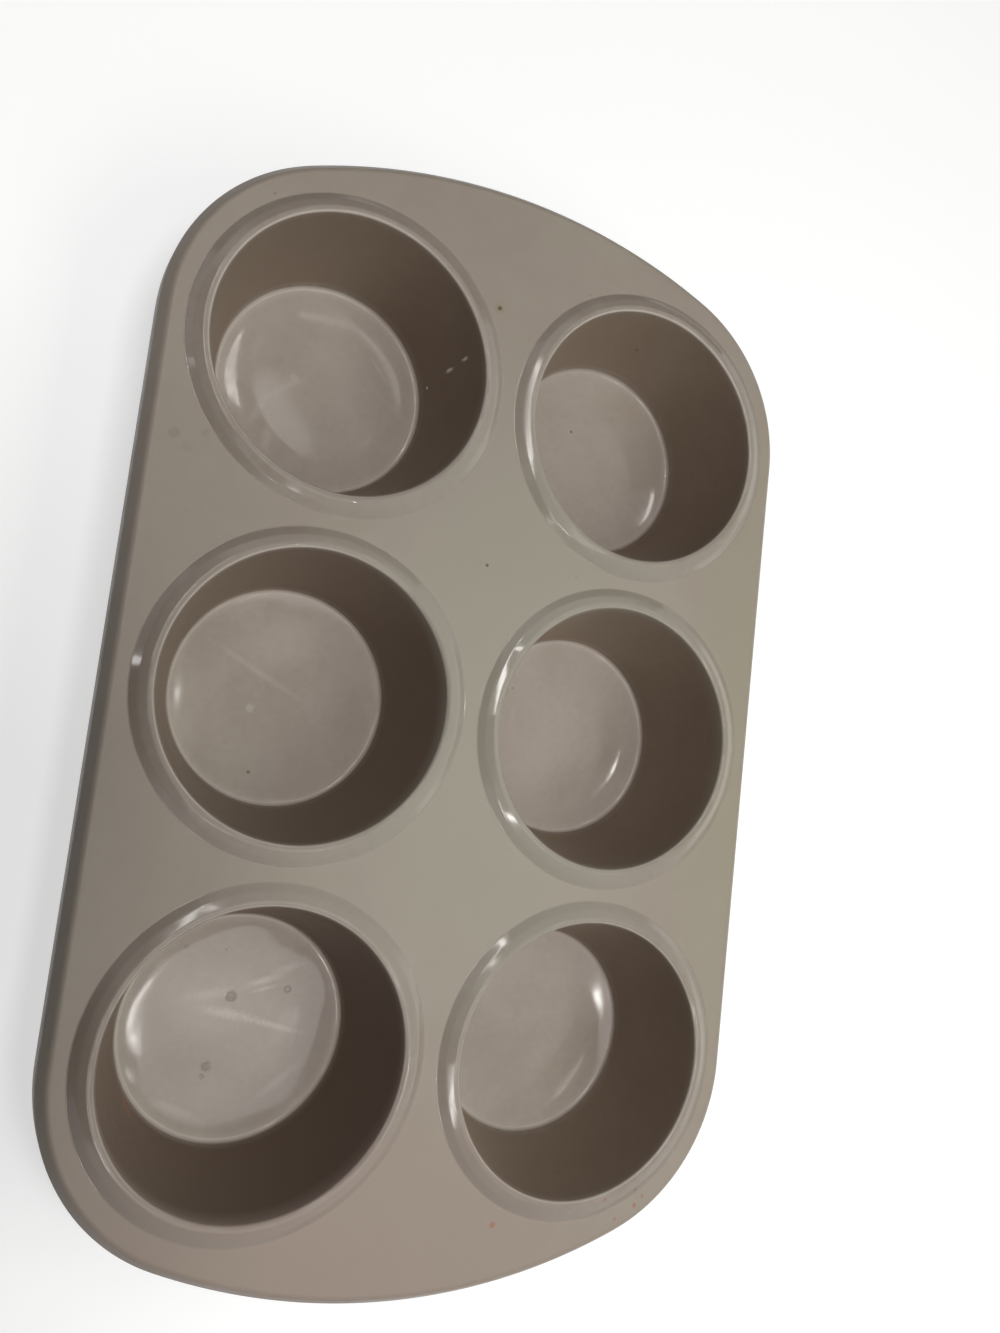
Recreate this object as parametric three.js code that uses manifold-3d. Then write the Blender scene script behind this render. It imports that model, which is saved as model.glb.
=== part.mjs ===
// Silicone muffin pan: a flat deck with a turned-down rim, six tapered cups with a raised bead
// round each mouth, and a steel hoop moulded into the rim.
// Millimetres, +Z up, +Y along the pan. The origin is on the table, under the middle of the pan.
import * as THREE from 'three';
import { mergeVertices } from 'three/addons/utils/BufferGeometryUtils.js';
import Module from 'manifold-3d';

// Cup grid: the deck's lands are the flat strips left between neighbouring beads
const columns = 2;
const rows = 3;
const landAcross = 4.3;
const landAlong = 3.5;

// Cup: the inside is a straight taper from the mouth, at the deck's level, to the edge of the floor
const cupDepth = 31;
const mouthRadius = 35.4;
const floorRadius = 28.8;
const cupWall = 1.8;
const floorFillet = 1.4;
const heelRound = 3.5;
const underDeckFillet = 2;

// Bead round the mouth: a rounded lip, a narrow crest and a slightly swollen slope down to the deck
const beadHeight = 2.2;
const beadLipRound = 0.9;
const beadCrest = 0.5;
const beadShoulderRound = 1;
const beadSlopeWidth = 3.95;
const beadSwell = 0.25;

// Floor: flat in the middle, dished up to the wall; the flexing panel stops short of the fillet
// and hangs a little above the heel
const floorThickness = 1.8;
const floorLift = 0.4;
const floorFlatRadius = 17;
const floorDish = 1.15;
const floorSeam = 2.1;

// Deck and its outline
const deckThickness = 2;
const sideMargin = 6.4;
const cornerShift = 1.5;
const endBow = 8.1;

// Turned-down rim, with a slope between the deck and its upright face, and the steel hoop inside it
const rimDepth = 9;
const rimSlopeWidth = 2.3;
const rimSlopeDrop = 3.3;
const rimFlare = 0.3;
const rimTurn = 2;
const rimBelly = 2;
const rimWidth = 6.9;
const rimEdgeRound = 0.9;
const wireDiameter = 2.5;
const locatorHoleDiameter = 1.8;

// Fit between neighbouring pieces
const clearance = 0.3;

// Facets
const cupFacets = 32;
const cornerSteps = 8;
const bowSteps = 10;
const wireFacets = 8;
const dishSteps = 2;
const roundSteps = 2;
const fineRoundSteps = 3;

// Heights above the table
const floorUnderside = floorLift;
const floorTop = floorUnderside + floorThickness;
const floorEdge = floorTop + floorDish;
const deckTop = floorEdge + cupDepth;
const deckUnderside = deckTop - deckThickness;
const beadTop = deckTop + beadHeight;
const rimBottom = deckTop - rimDepth;

// Taper of the cup
const draft = Math.atan2(mouthRadius - floorRadius, cupDepth);
const insideAt = (height) => floorRadius + (height - floorEdge) * Math.tan(draft);
const outsideAt = (height) => insideAt(height) + cupWall / Math.cos(draft);

// How far a round of this radius reaches along the two straight stretches that meet at an angle
const roundReach = (radius, angle) => radius / Math.tan(angle / 2);

// Radii that follow from the rounds
const wallAngle = Math.PI / 2 + draft;
const slopeMiddle = deckTop + beadHeight / 2 + beadSwell;
const slopeAngle = Math.PI - Math.atan2(beadTop - slopeMiddle, beadSlopeWidth / 2);
const lipRadius = insideAt(beadTop);
const crestWidth = roundReach(beadLipRound, wallAngle) + beadCrest + roundReach(beadShoulderRound, slopeAngle);
const shoulderRadius = lipRadius + crestWidth;
const toeRadius = shoulderRadius + beadSlopeWidth;
const heelBoreRadius = floorRadius - roundReach(floorFillet, wallAngle) - floorSeam;
const floorPanelRadius = heelBoreRadius - clearance;
const deckHoleRadius = toeRadius + clearance;

// The dish is an arc that leaves the flat middle level and meets the wall at the floor's edge
const dishWidth = floorRadius - floorFlatRadius;
const dishRadius = (dishWidth ** 2 + floorDish ** 2) / (2 * floorDish);
const floorAt = (radius) => floorTop + dishRadius - Math.sqrt(dishRadius ** 2 - (radius - floorFlatRadius) ** 2);

// Spacing of the cups
const pitchAcross = 2 * toeRadius + landAcross;
const pitchAlong = 2 * toeRadius + landAlong;

// Outline arcs: the corners follow the corner cups, and each end is a bow tangent to two corners
const cornerX = ((columns - 1) * pitchAcross) / 2 - cornerShift;
const cornerY = ((rows - 1) * pitchAlong) / 2 + cornerShift;
const cornerRadius = toeRadius + sideMargin + cornerShift;
const bowReach = (cornerX ** 2 + endBow ** 2) / (2 * endBow);
const bowRadius = bowReach + cornerRadius;
const bowCentreY = cornerY + endBow - bowReach;
const bowAngle = Math.atan2(cornerY - bowCentreY, cornerX);

// The hoop runs through the middle of the rim's thickness
const wireRadius = wireDiameter / 2;
const channelRadius = wireRadius + clearance;
const wireHeight = (rimBottom + deckUnderside) / 2;
const rimFaceAtWire = (-rimFlare * (wireHeight - rimBottom)) / (rimDepth - rimSlopeDrop);
const wireOutward = (rimFaceAtWire - rimWidth) / 2;

const wasm = await Module();
wasm.setup();

// A closed solid for cutting and joining, from any closed geometry
function toSolid(geometry) {
  const bare = geometry.clone();
  bare.deleteAttribute('normal');
  bare.deleteAttribute('uv');
  const merged = mergeVertices(bare);
  const vertProperties = new Float32Array(merged.attributes.position.array);
  const triVerts = new Uint32Array(merged.index.array);
  return new wasm.Manifold(new wasm.Mesh({ numProp: 3, vertProperties, triVerts }));
}

function toGeometry(solid) {
  const mesh = solid.getMesh();
  const geometry = new THREE.BufferGeometry();
  geometry.setAttribute('position', new THREE.BufferAttribute(mesh.vertProperties, 3));
  geometry.setIndex(new THREE.BufferAttribute(mesh.triVerts, 1));
  return geometry;
}

// Arc points that round off the corner between two straight stretches, tangent to both
function roundCorner(before, corner, after, radius, steps) {
  const toBefore = before.clone().sub(corner).normalize();
  const toAfter = after.clone().sub(corner).normalize();
  const angle = Math.acos(toBefore.dot(toAfter));
  const start = corner.clone().addScaledVector(toBefore, roundReach(radius, angle));
  const inward = toBefore.clone().add(toAfter).normalize();
  const centre = corner.clone().addScaledVector(inward, radius / Math.sin(angle / 2));
  const turn = (Math.PI - angle) * Math.sign(toAfter.cross(toBefore));
  return Array.from({ length: steps + 1 }, (_, step) => start.clone().rotateAround(centre, (turn * step) / steps));
}

const corner = (x, y, radius = 0, steps = roundSteps) => ({ at: new THREE.Vector2(x, y), radius, steps });

// A closed section from its corners, each sharp or rounded
function roundedSection(corners) {
  return corners.flatMap(({ at, radius, steps }, index) => {
    const before = corners.at(index - 1).at;
    const after = corners[(index + 1) % corners.length].at;
    return radius > 0 ? roundCorner(before, at, after, radius, steps) : [at];
  });
}

// A solid of revolution standing on the table
function turned(profile) {
  return new THREE.LatheGeometry(profile, cupFacets).rotateX(Math.PI / 2);
}

// The pan's edge seen from above, moved outward: straight sides, corner arcs and bowed ends
function panOutline(outward) {
  const arc = (x, y, radius, from, to, steps) =>
    new THREE.EllipseCurve(x, y, radius + outward, radius + outward, from, to).getPoints(steps);
  const end = [
    ...arc(cornerX, cornerY, cornerRadius, 0, bowAngle, cornerSteps),
    ...arc(0, bowCentreY, bowRadius, bowAngle, Math.PI - bowAngle, bowSteps).slice(1, -1),
    ...arc(-cornerX, cornerY, cornerRadius, Math.PI - bowAngle, Math.PI, cornerSteps),
  ];
  return [...end, ...end.map((point) => point.clone().negate())];
}

// A ring swept round the pan's edge, from a closed section of (outward, height) points
function sweptRound(section) {
  const rings = section.map(({ x, y }) => panOutline(x).map((point) => [point.x, point.y, y]));
  const around = rings[0].length;
  const triangles = [];
  for (let row = 0; row < rings.length; row++) {
    const nextRow = (row + 1) % rings.length;
    for (let column = 0; column < around; column++) {
      const nextColumn = (column + 1) % around;
      const here = row * around + column;
      const beside = row * around + nextColumn;
      const above = nextRow * around + column;
      const across = nextRow * around + nextColumn;
      triangles.push(here, beside, above, beside, across, above);
    }
  }
  const geometry = new THREE.BufferGeometry();
  geometry.setAttribute('position', new THREE.Float32BufferAttribute(rings.flat(2), 3));
  geometry.setIndex(triangles);
  return geometry;
}

// A round section for what runs inside the rim
function wireSection(radius) {
  const circle = new THREE.EllipseCurve(wireOutward, wireHeight, radius, radius);
  return circle.getPoints(wireFacets).slice(0, -1);
}

// An upright cylinder for holes
function uprightRod(radius, bottom, top, facets) {
  const rod = new THREE.CylinderGeometry(radius, radius, top - bottom, facets).rotateX(Math.PI / 2);
  return rod.translate(0, 0, (bottom + top) / 2);
}

// Centres of the cups, far row first and left to right
function cupCentres() {
  const centres = [];
  for (let row = 0; row < rows; row++) {
    for (let column = 0; column < columns; column++) {
      const x = (column - (columns - 1) / 2) * pitchAcross;
      const y = ((rows - 1) / 2 - row) * pitchAlong;
      centres.push(new THREE.Vector3(x, y, 0));
    }
  }
  return centres;
}

// Holes in the rim's underside where the mould's pins hold the hoop: along the sides and at the ends
function locatorHoleCentres() {
  const wireX = cornerX + cornerRadius + wireOutward;
  const wireY = bowCentreY + bowRadius + wireOutward;
  const sides = [-1, 1].flatMap((side) =>
    [-1, 1].map((half) => new THREE.Vector3(side * wireX, (half * pitchAlong) / 2, 0)));
  const ends = [-1, 1].map((side) => new THREE.Vector3(0, side * wireY, 0));
  return [...sides, ...ends];
}

// The deck and its rim: a sheet joined to the swept rim, then opened for the cups, hoop and mould pins
function deckGeometry() {
  const rimSection = roundedSection([
    corner(0, rimBottom, rimEdgeRound),
    corner(-rimFlare, deckTop - rimSlopeDrop, rimBelly),
    corner(-rimFlare - rimSlopeWidth, deckTop, rimTurn, fineRoundSteps),
    corner(-rimWidth, deckTop),
    corner(-rimWidth, rimBottom, rimEdgeRound),
  ]);
  const rimTurnAngle = Math.PI - Math.atan2(rimSlopeDrop, rimSlopeWidth);
  const rimFlatStart = rimFlare + rimSlopeWidth + roundReach(rimTurn, rimTurnAngle);
  const sheetOutline = new THREE.Shape(panOutline(-(rimFlatStart + rimWidth) / 2));
  const sheet = new THREE.ExtrudeGeometry(sheetOutline, { depth: deckThickness, bevelEnabled: false });
  sheet.translate(0, 0, deckUnderside);
  let solid = toSolid(sheet).add(toSolid(sweptRound(rimSection)));
  solid = solid.subtract(toSolid(sweptRound(wireSection(channelRadius))));
  const cupHole = uprightRod(deckHoleRadius, deckUnderside - clearance, beadTop, cupFacets);
  for (const centre of cupCentres()) {
    solid = solid.subtract(toSolid(cupHole).translate(centre.toArray()));
  }
  const pinHole = uprightRod(locatorHoleDiameter / 2, rimBottom - clearance, wireHeight, wireFacets);
  for (const centre of locatorHoleCentres()) {
    solid = solid.subtract(toSolid(pinHole).translate(centre.toArray()));
  }
  return toGeometry(solid);
}

function rimWireGeometry() {
  return sweptRound(wireSection(wireRadius));
}

// One cup without its floor panel: heel ring, tapered wall and mouth bead
function cupGeometry() {
  const profile = roundedSection([
    corner(heelBoreRadius, 0),
    corner(outsideAt(0), 0, heelRound),
    corner(outsideAt(deckUnderside), deckUnderside, underDeckFillet),
    corner(toeRadius, deckUnderside),
    corner(toeRadius, deckTop),
    corner((toeRadius + shoulderRadius) / 2, slopeMiddle),
    corner(shoulderRadius, beadTop, beadShoulderRound),
    corner(lipRadius, beadTop, beadLipRound, fineRoundSteps),
    corner(floorRadius, floorEdge, floorFillet, fineRoundSteps),
    corner(heelBoreRadius, floorAt(heelBoreRadius)),
  ]);
  return turned([...profile, profile[0]]);
}

// The flexing panel in the middle of a cup's floor
function floorPanelGeometry() {
  const dish = Array.from({ length: dishSteps + 1 }, (_, step) => {
    const radius = floorPanelRadius + ((floorFlatRadius - floorPanelRadius) * step) / dishSteps;
    return new THREE.Vector2(radius, floorAt(radius));
  });
  return turned([
    new THREE.Vector2(0, floorUnderside),
    new THREE.Vector2(floorPanelRadius, floorUnderside),
    ...dish,
    new THREE.Vector2(0, floorTop),
  ]);
}

const silicone = (roughness) => new THREE.MeshStandardMaterial({ color: 0x9c9488, roughness, metalness: 0 });
const steel = () => new THREE.MeshStandardMaterial({ color: 0xb4b4b0, roughness: 0.35, metalness: 1 });
const satin = 0.55;
const gloss = 0.22;

function addPiece(group, name, geometry, material, place = new THREE.Vector3()) {
  const mesh = new THREE.Mesh(geometry, material);
  mesh.name = name;
  mesh.position.copy(place);
  group.add(mesh);
}

const pan = new THREE.Group();
addPiece(pan, 'top_deck', deckGeometry(), silicone(satin));
addPiece(pan, 'rim_wire', rimWireGeometry(), steel());
cupCentres().forEach((centre, index) => {
  addPiece(pan, `cup_${index + 1}`, cupGeometry(), silicone(gloss), centre);
  addPiece(pan, `cup_floor_${index + 1}`, floorPanelGeometry(), silicone(gloss), centre);
});

export default pan;
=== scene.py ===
"""A silicone muffin pan on a pale floor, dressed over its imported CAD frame. Metres, +Z up."""

import logging
import math
import random
from dataclasses import dataclass, field
from enum import Enum

import bpy
from bpy.types import ID, Material, Node, NodeSocket, NodeTree, Object
from mathutils import Matrix, Vector
from mathutils.geometry import tessellate_polygon
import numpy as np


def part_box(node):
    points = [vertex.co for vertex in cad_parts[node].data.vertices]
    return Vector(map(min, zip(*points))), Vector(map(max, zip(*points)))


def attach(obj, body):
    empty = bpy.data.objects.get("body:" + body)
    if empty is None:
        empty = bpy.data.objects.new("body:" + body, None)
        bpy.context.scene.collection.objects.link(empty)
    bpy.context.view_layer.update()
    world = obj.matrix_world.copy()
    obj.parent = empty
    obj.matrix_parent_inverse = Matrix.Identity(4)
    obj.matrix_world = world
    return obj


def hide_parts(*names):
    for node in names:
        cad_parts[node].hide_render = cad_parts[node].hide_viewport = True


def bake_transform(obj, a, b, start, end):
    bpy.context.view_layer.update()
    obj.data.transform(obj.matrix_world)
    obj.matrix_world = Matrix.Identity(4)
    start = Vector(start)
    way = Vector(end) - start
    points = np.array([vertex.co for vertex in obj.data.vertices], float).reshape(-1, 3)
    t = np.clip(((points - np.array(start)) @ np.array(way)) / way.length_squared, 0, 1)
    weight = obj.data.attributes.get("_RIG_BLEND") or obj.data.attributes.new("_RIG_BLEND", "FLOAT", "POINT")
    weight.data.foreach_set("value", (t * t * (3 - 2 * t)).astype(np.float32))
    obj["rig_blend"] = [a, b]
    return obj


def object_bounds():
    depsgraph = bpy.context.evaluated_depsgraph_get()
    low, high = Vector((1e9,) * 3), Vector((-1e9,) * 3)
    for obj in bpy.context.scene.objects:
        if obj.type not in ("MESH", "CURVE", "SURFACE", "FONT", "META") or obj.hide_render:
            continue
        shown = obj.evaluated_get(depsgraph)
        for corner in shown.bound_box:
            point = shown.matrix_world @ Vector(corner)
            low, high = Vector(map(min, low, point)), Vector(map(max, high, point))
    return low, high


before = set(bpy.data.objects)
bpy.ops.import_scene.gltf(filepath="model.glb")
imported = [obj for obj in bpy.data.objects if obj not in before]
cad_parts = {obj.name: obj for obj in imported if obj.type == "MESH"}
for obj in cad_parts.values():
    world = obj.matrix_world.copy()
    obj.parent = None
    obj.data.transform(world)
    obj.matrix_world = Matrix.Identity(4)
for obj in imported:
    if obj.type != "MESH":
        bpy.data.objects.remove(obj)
CAD_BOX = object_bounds()

MM = 0.001
CUP_COUNT = 6
CREASE = math.radians(32)
SAME_HEIGHT = 1e-6
FULL_TURN = 2 * math.pi
SEED_BASE = 100
REST_PLACE = "rest_place"
CUP_ZONE = "cup_zone"
CUP_MATTE = "cup_matte"
# Per cup: how strongly dark brown shade is painted on the inside of the wall; most in cup 5.
WALL_SHADE = {1: 0.2, 2: 0.0, 3: 0.42, 4: 0.05, 5: 0.85, 6: 0.15}
# Per cup: how strongly a pale highlight is painted round the floor's edge.
FLOOR_EDGE_HIGHLIGHT = {1: 0.34, 2: 0.14, 3: 0.34, 4: 0.24, 5: 0.42, 6: 0.22}
LOG = logging.getLogger("muffin_pan")

Colour = tuple[float, float, float]
Point = tuple[float, float]
Place = tuple[float, float, float]
Wave = tuple[float, float, float, float]
Value = float | NodeSocket
Shade = Colour | NodeSocket

CRUMB: Colour = (0.07, 0.055, 0.03)
OILY: Colour = (0.26, 0.2, 0.1)
RUST: Colour = (0.3, 0.12, 0.07)
GRIME: Colour = (0.15, 0.12, 0.095)
PALE: Colour = (0.62, 0.56, 0.5)
CHALK: Colour = (0.85, 0.83, 0.81)
# Dark colour painted as shade on the outer slopes of two left beads.
BEAD_SHADE: Colour = (0.205, 0.16, 0.128)
# The next three tint broad patches of painted light over the deck and beads: a lighter greenish middle as
# painted sheen, and a yellower right side and a pinker near end for the colour of the light.
GREENISH: Colour = (0.32, 0.297, 0.245)
YELLOWISH: Colour = (0.285, 0.258, 0.19)
PINKISH: Colour = (0.3, 0.236, 0.198)
DUST: Colour = (0.09, 0.075, 0.055)
BLACK_CARD: Colour = (0.02, 0.02, 0.02)
WHITE: Colour = (1.0, 1.0, 1.0)
WARM_WHITE: Colour = (1.0, 0.98, 0.95)


class Slot(Enum):
    """Material slots of the record."""

    SATIN = "satin_silicone"
    GLOSS = "gloss_silicone"
    STEEL = "steel_wire"


class Body(Enum):
    """CAD bodies that pieces ride on."""

    PAN = "pan"
    FLOOR = "floor_"


class LampUse(Enum):
    """What a lamp is for."""

    LIGHT = "light"
    MIRROR = "mirror"


class Socket(Enum):
    """Kinds of socket of the shared node groups."""

    VECTOR = "NodeSocketVector"
    NUMBER = "NodeSocketFloat"
    COLOUR = "NodeSocketColor"


@dataclass(frozen=True)
class Corner:
    """One corner of a section.

    Attributes:
        out: Distance from the axis, or from the pan's edge.
        height: Height above the table.
        radius: Radius of the round, or 0 for a sharp corner.
        steps: Flat steps in the round.
        then: Points spread over the stretch after it.
    """

    out: float
    height: float
    radius: float = 0.0
    steps: int = 8
    then: int = 0


def rounded(before: Corner, corner: Corner, after: Corner) -> list[Point]:
    """Arc that rounds off a corner, tangent to both stretches that meet there.

    Args:
        before: The corner before it.
        corner: The corner itself.
        after: The corner after it.

    Returns:
        Points of the arc, or the corner alone where it is sharp.
    """
    middle = Vector((corner.out, corner.height))
    if corner.radius <= 0:
        return [middle.to_tuple()]
    to_before = (Vector((before.out, before.height)) - middle).normalized()
    to_after = (Vector((after.out, after.height)) - middle).normalized()
    angle = to_before.angle(to_after)
    start = middle + to_before * corner.radius / math.tan(angle / 2)
    centre = middle + (to_before + to_after).normalized() * corner.radius / math.sin(angle / 2)
    turn = math.copysign(math.pi - angle, to_after.cross(to_before))
    spoke = start - centre
    points = []
    for step in range(corner.steps + 1):
        angle_here = turn * step / corner.steps
        spin = Matrix.Rotation(angle_here, 2)
        points.append((centre + spin @ spoke).to_tuple())
    return points


def spread(start: Point, end: Point, count: int) -> list[Point]:
    """Evenly spaced points strictly between two points, in order."""
    shares = [(step + 1) / (count + 1) for step in range(count)]
    return [(start[0] + (end[0] - start[0]) * s, start[1] + (end[1] - start[1]) * s) for s in shares]


def fade(value: float, low: float, high: float) -> float:
    """Smooth step from 0 at low to 1 at high."""
    share = min(max((value - low) / (high - low), 0.0), 1.0)
    return share * share * (3 - 2 * share)


def fade_from(value: float, base: float, span: Point) -> float:
    """Smooth step over a span that is measured from a base."""
    return fade(value, base + span[0], base + span[1])


def linked_object(name: str, data: ID) -> Object:
    """A new object of the scene.

    Args:
        name: Its name.
        data: Its mesh, lamp or camera.

    Returns:
        The object.
    """
    made = bpy.data.objects.new(name, data)
    bpy.context.scene.collection.objects.link(made)
    return made


@dataclass
class Draft:
    """A mesh while it is being built.

    Attributes:
        points: Vertex places in metres.
        faces: Vertex numbers of each face.
    """

    points: list[Place] = field(default_factory=list)
    faces: list[tuple[int, ...]] = field(default_factory=list)

    def ring(self, loop: list[Place]) -> list[int]:
        """Adds a loop of points.

        Args:
            loop: The points.

        Returns:
            The new vertices' numbers.
        """
        first = len(self.points)
        self.points += loop
        return list(range(first, len(self.points)))

    def level_ring(self, loop: list[Point], height: float) -> list[int]:
        """Adds a loop of points that all lie at one height."""
        return self.ring([(x, y, height) for x, y in loop])

    def band(self, first: list[int], second: list[int], flip: bool = False) -> None:
        """Joins two loops by a band of faces.

        Args:
            first: Vertices of one loop.
            second: Vertices of the other.
            flip: Turns the faces over.
        """
        for step in range(len(first)):
            beside = (step + 1) % len(first)
            face = (first[step], first[beside], second[beside], second[step])
            self.faces.append(face[::-1] if flip else face)

    def sheet(self, loops: list[list[int]], up: bool) -> None:
        """Fills a flat region that has holes.

        Args:
            loops: The outer loop, then the holes.
            up: Whether the faces look up.
        """
        flat = [number for loop in loops for number in loop]
        outlines = [[Vector(self.points[number]) for number in loop] for loop in loops]
        for triangle in tessellate_polygon(outlines):
            a, b, c = (flat[number] for number in triangle)
            first, second, third = (Vector(self.points[number]) for number in (a, b, c))
            looks_up = (second - first).cross(third - first).z > 0
            self.faces.append((a, b, c) if looks_up == up else (a, c, b))

    def finish(self, name: str) -> Object:
        """Makes a smooth-shaded object that remembers where each point lies at rest.

        Args:
            name: Name of the object.

        Returns:
            The object.
        """
        mesh = bpy.data.meshes.new(name)
        mesh.from_pydata(self.points, [], self.faces)
        mesh.validate()
        mesh.shade_smooth()
        mesh.set_sharp_from_angle(angle=CREASE)
        rest = mesh.attributes.new(REST_PLACE, "FLOAT_VECTOR", "POINT")
        for vertex, place in zip(mesh.vertices, rest.data):
            place.vector = vertex.co
        return linked_object(name, mesh)


def staged_sheet(name: str, corners: list[Place], material: Material) -> Object:
    """A flat sheet of the stage, which is no part of the pan.

    Args:
        name: Its name.
        corners: Its four corners in metres.
        material: Its finish.

    Returns:
        The object.
    """
    mesh = bpy.data.meshes.new(name)
    mesh.from_pydata(corners, [], [(0, 1, 2, 3)])
    mesh.materials.append(material)
    sheet = linked_object(name, mesh)
    return sheet


class Graph:
    """Shader nodes of one tree, written in short calls."""

    def __init__(self, tree: NodeTree) -> None:
        """Takes the node tree to write in."""
        self.tree = tree

    def add(self, kind: str, inputs: dict | None = None, **settings: object) -> Node:
        """Adds a node.

        Args:
            kind: Blender's name of the node type.
            inputs: Socket name or number to a value, or to an output socket to link.
            settings: Properties of the node.

        Returns:
            The node.
        """
        node = self.tree.nodes.new(kind)
        for key, value in settings.items():
            setattr(node, key, value)
        for key, value in (inputs or {}).items():
            if isinstance(value, NodeSocket):
                self.tree.links.new(value, node.inputs[key])
            else:
                node.inputs[key].default_value = value
        return node

    def math(self, operation: str, first: Value, second: Value = 0.0, third: Value = 0.0) -> NodeSocket:
        """A number worked out from values or sockets."""
        node = self.add("ShaderNodeMath", {0: first, 1: second, 2: third}, operation=operation)
        return node.outputs[0]

    def range(
        self, value: Value, low: Value, high: Value, to_low: float = 0.0, to_high: float = 1.0
    ) -> NodeSocket:
        """A value carried smoothly from one range to another."""
        inputs = {"Value": value, "From Min": low, "From Max": high, "To Min": to_low, "To Max": to_high}
        return self.add("ShaderNodeMapRange", inputs, interpolation_type="SMOOTHSTEP").outputs["Result"]

    def mix(self, share: Value, first: NodeSocket, second: Shade, blend: str = "MIX") -> NodeSocket:
        """Two colours mixed.

        Args:
            share: How much of the second.
            first: Socket of the first colour.
            second: Second colour or its socket.
            blend: The Mix node's blend type.

        Returns:
            The output socket.
        """
        if not isinstance(second, NodeSocket):
            second = (*second, 1.0)
        inputs = {0: share, 6: first, 7: second}
        return self.add("ShaderNodeMix", inputs, data_type="RGBA", blend_type=blend).outputs[2]

    def noise(self, place: NodeSocket, scale: Value, detail: float = 2.0, rough: float = 0.5) -> NodeSocket:
        """Noise over the surface, in features per metre."""
        inputs = {"Vector": place, "Scale": scale, "Detail": detail, "Roughness": rough}
        return self.add("ShaderNodeTexNoise", inputs).outputs[0]

    def attribute(self, name: str, output: str = "Vector") -> NodeSocket:
        """What an attribute of the mesh holds."""
        return self.add("ShaderNodeAttribute", attribute_name=name).outputs[output]

    def group(self, tree: NodeTree, inputs: dict) -> NodeSocket:
        """The one output of a shared group."""
        return self.add("ShaderNodeGroup", inputs, node_tree=tree).outputs[0]


def new_material(name: str) -> tuple[Material, Graph, Node]:
    """A material with a plain surface shader.

    Args:
        name: Its name.

    Returns:
        The material, its graph and its shader.
    """
    made = bpy.data.materials.new(name)
    made.use_nodes = True
    return made, Graph(made.node_tree), made.node_tree.nodes["Principled BSDF"]


@dataclass(frozen=True)
class Layer:
    """One layer of noise.

    Attributes:
        scale: Features per metre.
        share: How much the layer counts.
        detail: Octaves.
        roughness: How much the finer octaves count.
    """

    scale: float
    share: float
    detail: float
    roughness: float = 0.5


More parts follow.
